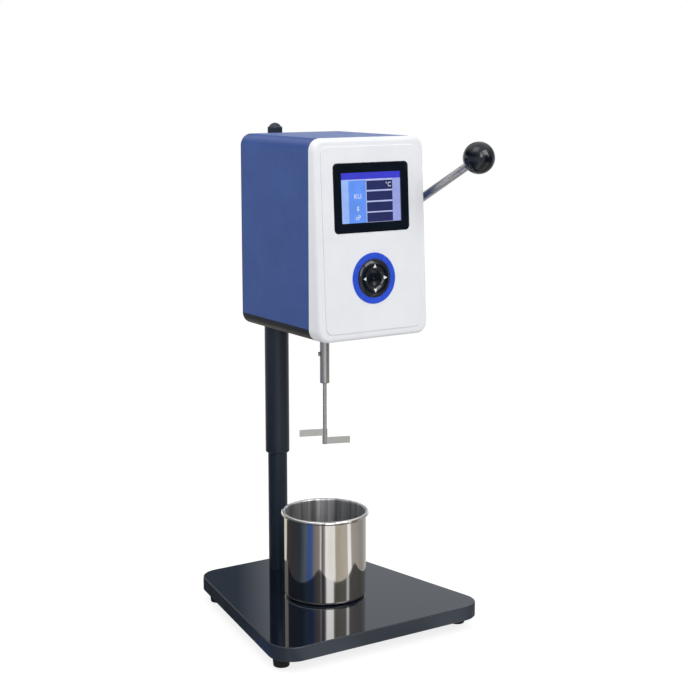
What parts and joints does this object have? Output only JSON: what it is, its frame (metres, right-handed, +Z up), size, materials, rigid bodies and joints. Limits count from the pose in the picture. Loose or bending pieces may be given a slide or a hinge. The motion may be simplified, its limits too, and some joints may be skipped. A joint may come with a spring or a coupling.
{
  "type": "rotational viscometer",
  "caption": "Bench paddle viscometer: drive head with screen and keypad, lowered down a column by a side lever so the paddle dips into a steel cup.",
  "frame": {"origin": "on the bench, straight under the spindle's axis, which is also the cup's axis", "axes": "+Z up along the spindle and column, +Y from the leaning front face to the column behind, +X to the right, where the lever is"},
  "size_m": [0.2466, 0.2992, 0.5227],
  "materials": {
    "gloss_black": "high gloss black lacquer on steel plate",
    "rubber": "matt black rubber",
    "steel": "zinc plated or ground steel",
    "black_steel": "satin blue-black finish on turned steel",
    "black_casting": "black anodised, machined",
    "bush": "acetal bearing plastic",
    "blue_paint": "satin blue powder coat",
    "black_paint": "satin blue-black powder coat",
    "aluminium": "milled",
    "white_plastic": "smooth white moulding",
    "gloss_black_plastic": "polished black plastic",
    "display": "lit colour display behind a clear sheet",
    "board": "green solder resist",
    "blue_plastic": "bright blue ring",
    "stainless": "fine turned stainless steel",
    "polished_stainless": "mirror polished stainless steel",
    "black_plastic": "moulded black plastic"
  },
  "bodies": {
    "stand": {"base_plate": "gloss_black", "rubber_feet": "rubber", "foot_screws": "steel", "column": "black_steel", "column_screw": "steel", "cap_washer": "black_steel", "cap_nut": "black_steel"},
    "head": {"sleeve": "black_steel", "sleeve_bushes": "bush", "carriage": "black_casting", "carriage_cap": "black_casting", "clamp_screws": "steel", "flange_screws": "steel", "tension_screw": "black_plastic", "tension_pad": "bush", "head_cover": "blue_paint", "head_tray": "black_paint", "back_panel": "black_paint", "tie_rods": "aluminium", "panel_screws": "steel", "front_bezel": "white_plastic", "screen_frame": "gloss_black_plastic", "lcd_module": "display", "main_board": "board", "keypad_board": "board", "board_screws": "steel", "keypad_ring": "blue_plastic", "chassis_plate": "aluminium", "bearing_housing": "aluminium", "spindle_bearings": "steel", "motor_bracket": "aluminium", "drive_motor": "black_paint", "motor_screws": "steel", "drive_belt": "rubber", "shaft_bushes": "bush", "side_bush": "black_plastic", "power_inlet": "black_plastic", "switch_case": "black_plastic", "power_supply": "aluminium"},
    "lever": {"lever_shaft": "steel", "lift_pinion": "steel", "shaft_collar": "steel", "lever_hub": "black_paint", "hub_screw": "steel", "lever_rod": "stainless", "lever_knob": "gloss_black_plastic"},
    "spindle": {"spindle_shaft": "steel", "spindle_pulley": "aluminium", "spindle_chuck": "stainless", "chuck_screw": "steel", "paddle": "stainless"},
    "rotor": {"motor_shaft": "steel", "motor_pulley": "aluminium"},
    "up_key": {"key_up": "gloss_black_plastic"},
    "left_key": {"key_left": "gloss_black_plastic"},
    "down_key": {"key_down": "gloss_black_plastic"},
    "right_key": {"key_right": "gloss_black_plastic"},
    "centre_key": {"key_centre": "gloss_black_plastic"},
    "rocker": {"power_switch": "black_plastic"},
    "cup": {"sample_cup": "polished_stainless"}
  },
  "joints": [
    {"name": "head_lift", "type": "slide", "parent": "stand", "child": "head", "axis": [0, 0, 1], "range_m": [-0.1256, 0]},
    {"name": "lever_turn", "type": "hinge", "parent": "head", "child": "lever", "pos_m": [0, 0.0403, 0.4014], "axis": [1, 0, 0], "range_deg": [0, 144]},
    {"name": "rotor_turn", "type": "hinge", "parent": "head", "child": "rotor", "pos_m": [0, -0.044, 0.36], "axis": [0, 0, 1], "continuous": true},
    {"name": "spindle_turn", "type": "hinge", "parent": "head", "child": "spindle", "pos_m": [0, 0, 0.32], "axis": [0, 0, 1], "continuous": true},
    {"name": "up_press", "type": "slide", "parent": "head", "child": "up_key", "axis": [0, 0.9983, -0.059], "range_m": [0, 0.0008], "stiffness_N_per_m": 400, "springref_m": -0.001},
    {"name": "left_press", "type": "slide", "parent": "head", "child": "left_key", "axis": [0, 0.9983, -0.059], "range_m": [0, 0.0008], "stiffness_N_per_m": 400, "springref_m": -0.001},
    {"name": "down_press", "type": "slide", "parent": "head", "child": "down_key", "axis": [0, 0.9983, -0.059], "range_m": [0, 0.0008], "stiffness_N_per_m": 400, "springref_m": -0.001},
    {"name": "right_press", "type": "slide", "parent": "head", "child": "right_key", "axis": [0, 0.9983, -0.059], "range_m": [0, 0.0008], "stiffness_N_per_m": 400, "springref_m": -0.001},
    {"name": "centre_press", "type": "slide", "parent": "head", "child": "centre_key", "axis": [0, 0.9983, -0.059], "range_m": [0, 0.0008], "stiffness_N_per_m": 400, "springref_m": -0.001},
    {"name": "switch_rock", "type": "hinge", "parent": "head", "child": "rocker", "pos_m": [-0.0485, 0.0565, 0.42], "axis": [1, 0, 0], "range_deg": [0, 20]},
    {"name": "cup_slide", "type": "slide", "parent": "stand", "child": "cup", "axis": [0, -1, 0], "range_m": [0, 0.076]}
  ],
  "couplings": [
    {"joint": "lever_turn", "follows": "head_lift", "rad_per_m": -20},
    {"joint": "spindle_turn", "follows": "rotor_turn", "ratio": 1}
  ]
}
